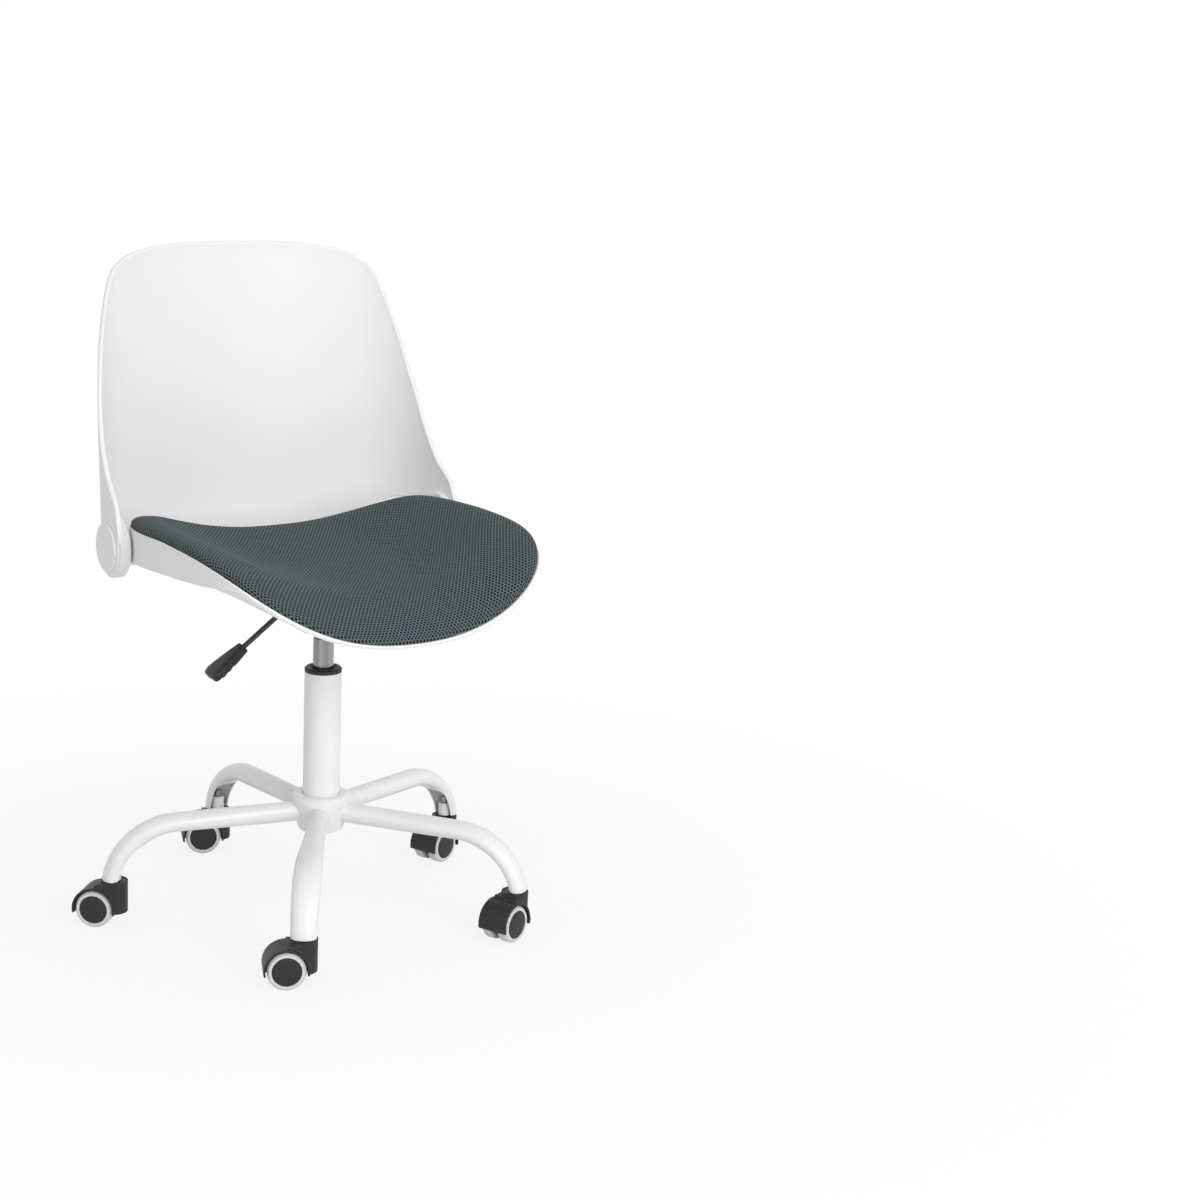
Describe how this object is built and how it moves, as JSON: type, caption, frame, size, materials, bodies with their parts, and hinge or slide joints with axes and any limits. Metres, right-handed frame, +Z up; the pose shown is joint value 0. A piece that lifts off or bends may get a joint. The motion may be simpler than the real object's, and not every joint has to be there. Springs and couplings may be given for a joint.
{
  "type": "folding-back swivel chair",
  "caption": "Height-adjustable swivel task chair: white moulded seat with a dark mesh cushion, a wrapped back that folds forward over the seat, tubular legs on twin-wheel casters.",
  "frame": {"origin": "On the floor under the column axis, the point the chair turns about", "axes": "+Z up, the seat's front towards -Y, the lever on the sitter's right at -X"},
  "size_m": [0.6014, 0.5814, 0.879],
  "materials": {
    "white_plastic": "fine satin moulded polypropylene, white",
    "white_paint": "white powder coat, semi-gloss",
    "black_plastic": "black nylon with a fine grain",
    "grey_plastic": "natural acetal",
    "black_paint": "black powder coat",
    "steel": "ground and polished steel",
    "pale_tread": "pale grey thermoplastic tread",
    "mesh_fabric": "dark slate air-mesh fabric over foam"
  },
  "bodies": {
    "base": {"base_hub": "white_paint", "leg_1": "white_paint", "leg_2": "white_paint", "leg_3": "white_paint", "leg_4": "white_paint", "leg_5": "white_paint", "caster_sockets": "white_paint", "column_tube": "white_paint", "column_collar": "black_plastic", "guide_bush": "black_plastic", "thrust_bearing": "steel"},
    "rod": {"piston_rod": "steel", "rod_clip": "steel"},
    "seat": {"gas_cylinder": "steel", "taper_cup": "black_paint", "seat_plate": "black_paint", "plate_screws": "steel", "lever_pivot_pin": "steel", "seat_shell": "white_plastic", "seat_cushion": "mesh_fabric", "hinge_pins": "steel"},
    "release_pin": {"release_pin": "steel"},
    "lever": {"lever_rod": "black_paint", "lever_handle": "black_plastic"},
    "back": {"back_shell": "white_plastic", "hinge_bushes": "grey_plastic", "hinge_caps": "white_plastic"},
    "caster_1": {"caster_1_hood": "black_plastic", "caster_1_pins": "steel"},
    "caster_1_wheel_a": {"caster_1_wheel_a": "black_plastic", "caster_1_tread_a": "pale_tread"},
    "caster_1_wheel_b": {"caster_1_wheel_b": "black_plastic", "caster_1_tread_b": "pale_tread"},
    "caster_2": {"caster_2_hood": "black_plastic", "caster_2_pins": "steel"},
    "caster_2_wheel_a": {"caster_2_wheel_a": "black_plastic", "caster_2_tread_a": "pale_tread"},
    "caster_2_wheel_b": {"caster_2_wheel_b": "black_plastic", "caster_2_tread_b": "pale_tread"},
    "caster_3": {"caster_3_hood": "black_plastic", "caster_3_pins": "steel"},
    "caster_3_wheel_a": {"caster_3_wheel_a": "black_plastic", "caster_3_tread_a": "pale_tread"},
    "caster_3_wheel_b": {"caster_3_wheel_b": "black_plastic", "caster_3_tread_b": "pale_tread"},
    "caster_4": {"caster_4_hood": "black_plastic", "caster_4_pins": "steel"},
    "caster_4_wheel_a": {"caster_4_wheel_a": "black_plastic", "caster_4_tread_a": "pale_tread"},
    "caster_4_wheel_b": {"caster_4_wheel_b": "black_plastic", "caster_4_tread_b": "pale_tread"},
    "caster_5": {"caster_5_hood": "black_plastic", "caster_5_pins": "steel"},
    "caster_5_wheel_a": {"caster_5_wheel_a": "black_plastic", "caster_5_tread_a": "pale_tread"},
    "caster_5_wheel_b": {"caster_5_wheel_b": "black_plastic", "caster_5_tread_b": "pale_tread"}
  },
  "joints": [
    {"name": "swivel", "type": "hinge", "parent": "base", "child": "rod", "pos_m": [0, 0, 0.127], "axis": [0, 0, 1], "continuous": true},
    {"name": "lift", "type": "slide", "parent": "rod", "child": "seat", "axis": [0, 0, 1], "range_m": [-0.036, 0.08]},
    {"name": "back_fold", "type": "hinge", "parent": "seat", "child": "back", "pos_m": [0, 0.128, 0.499], "axis": [1, 0, 0], "range_deg": [0, 95]},
    {"name": "lever_lift", "type": "hinge", "parent": "seat", "child": "lever", "pos_m": [-0.038, 0, 0.421], "axis": [0, 1, 0], "range_deg": [0, 5], "stiffness_Nm_per_rad": 3, "springref_deg": -5.73},
    {"name": "valve_press", "type": "slide", "parent": "seat", "child": "release_pin", "axis": [0, 0, -1], "range_m": [0, 0.0042], "stiffness_N_per_m": 400, "springref_m": -0.002},
    {"name": "caster_1_swivel", "type": "hinge", "parent": "base", "child": "caster_1", "pos_m": [-0.02684, 0.27871, 0.06], "axis": [0, 0, 1], "continuous": true},
    {"name": "caster_1_roll_a", "type": "hinge", "parent": "caster_1", "child": "caster_1_wheel_a", "pos_m": [-0.04764, 0.28587, 0.025], "axis": [-0.3256, -0.9455, 0], "continuous": true},
    {"name": "caster_1_roll_b", "type": "hinge", "parent": "caster_1", "child": "caster_1_wheel_b", "pos_m": [-0.04764, 0.28587, 0.025], "axis": [-0.3256, -0.9455, 0], "continuous": true},
    {"name": "caster_2_swivel", "type": "hinge", "parent": "base", "child": "caster_2", "pos_m": [-0.27336, 0.0606, 0.06], "axis": [0, 0, 1], "continuous": true},
    {"name": "caster_2_roll_a", "type": "hinge", "parent": "caster_2", "child": "caster_2_wheel_a", "pos_m": [-0.28971, 0.07532, 0.025], "axis": [-0.6691, -0.7431, 0], "continuous": true},
    {"name": "caster_2_roll_b", "type": "hinge", "parent": "caster_2", "child": "caster_2_wheel_b", "pos_m": [-0.28971, 0.07532, 0.025], "axis": [-0.6691, -0.7431, 0], "continuous": true},
    {"name": "caster_3_swivel", "type": "hinge", "parent": "base", "child": "caster_3", "pos_m": [-0.14211, -0.24126, 0.06], "axis": [0, 0, 1], "continuous": true},
    {"name": "caster_3_roll_a", "type": "hinge", "parent": "caster_3", "child": "caster_3_wheel_a", "pos_m": [-0.16251, -0.23301, 0.025], "axis": [-0.3746, -0.9272, 0], "continuous": true},
    {"name": "caster_3_roll_b", "type": "hinge", "parent": "caster_3", "child": "caster_3_wheel_b", "pos_m": [-0.16251, -0.23301, 0.025], "axis": [-0.3746, -0.9272, 0], "continuous": true},
    {"name": "caster_4_swivel", "type": "hinge", "parent": "base", "child": "caster_4", "pos_m": [0.18553, -0.20971, 0.06], "axis": [0, 0, 1], "continuous": true},
    {"name": "caster_4_roll_a", "type": "hinge", "parent": "caster_4", "child": "caster_4_wheel_a", "pos_m": [0.16544, -0.21866, 0.025], "axis": [0.4067, -0.9135, 0], "continuous": true},
    {"name": "caster_4_roll_b", "type": "hinge", "parent": "caster_4", "child": "caster_4_wheel_b", "pos_m": [0.16544, -0.21866, 0.025], "axis": [0.4067, -0.9135, 0], "continuous": true},
    {"name": "caster_5_swivel", "type": "hinge", "parent": "base", "child": "caster_5", "pos_m": [0.25678, 0.11165, 0.06], "axis": [0, 0, 1], "continuous": true},
    {"name": "caster_5_roll_a", "type": "hinge", "parent": "caster_5", "child": "caster_5_wheel_a", "pos_m": [0.23668, 0.1027, 0.025], "axis": [0.4067, -0.9135, 0], "continuous": true},
    {"name": "caster_5_roll_b", "type": "hinge", "parent": "caster_5", "child": "caster_5_wheel_b", "pos_m": [0.23668, 0.1027, 0.025], "axis": [0.4067, -0.9135, 0], "continuous": true}
  ],
  "couplings": [
    {"joint": "valve_press", "follows": "lever_lift", "m_per_rad": 0.0478}
  ]
}
